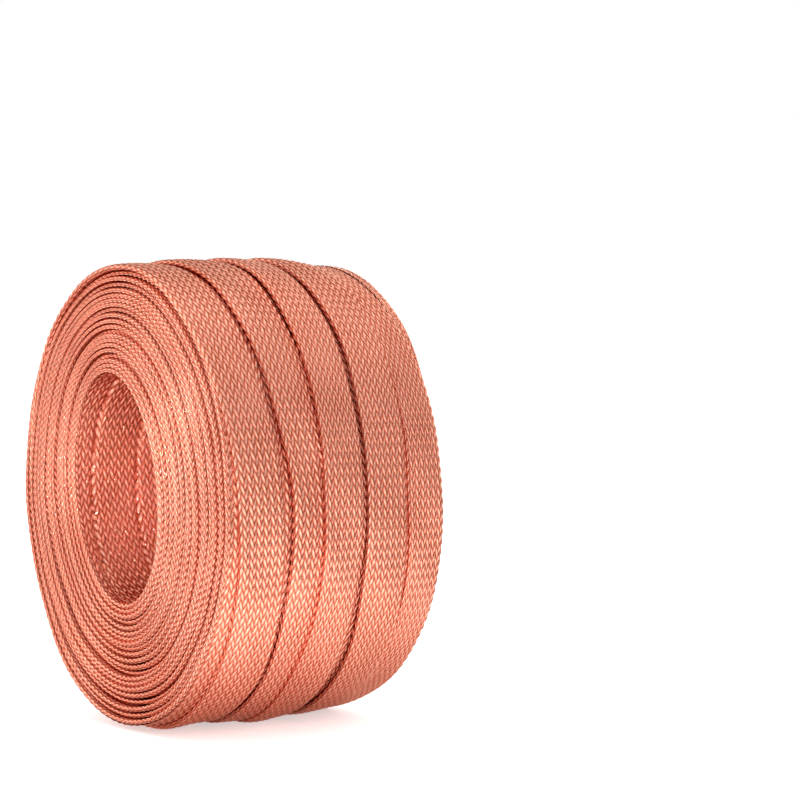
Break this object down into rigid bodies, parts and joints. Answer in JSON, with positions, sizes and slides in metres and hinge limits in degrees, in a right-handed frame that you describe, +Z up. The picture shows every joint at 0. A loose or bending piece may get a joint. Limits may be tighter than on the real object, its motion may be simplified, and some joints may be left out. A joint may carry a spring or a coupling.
{
  "type": "flexible busbar braid",
  "caption": "Roll of flat bare-copper braid for flexible busbar and earthing links, wound in layers round an open centre hole and lying on its rim.",
  "frame": {"origin": "on the floor under the middle of the roll, at the centre of its flat spot", "axes": "+X along the roll's axis, from the face that the picture shows to the far one; +Z up"},
  "size_m": [0.114, 0.1578, 0.1921],
  "materials": {
    "copper_braid": "bare woven copper wire, satin with bright glints"
  },
  "bodies": {
    "root": {"braid_roll": "copper_braid"}
  },
  "joints": []
}
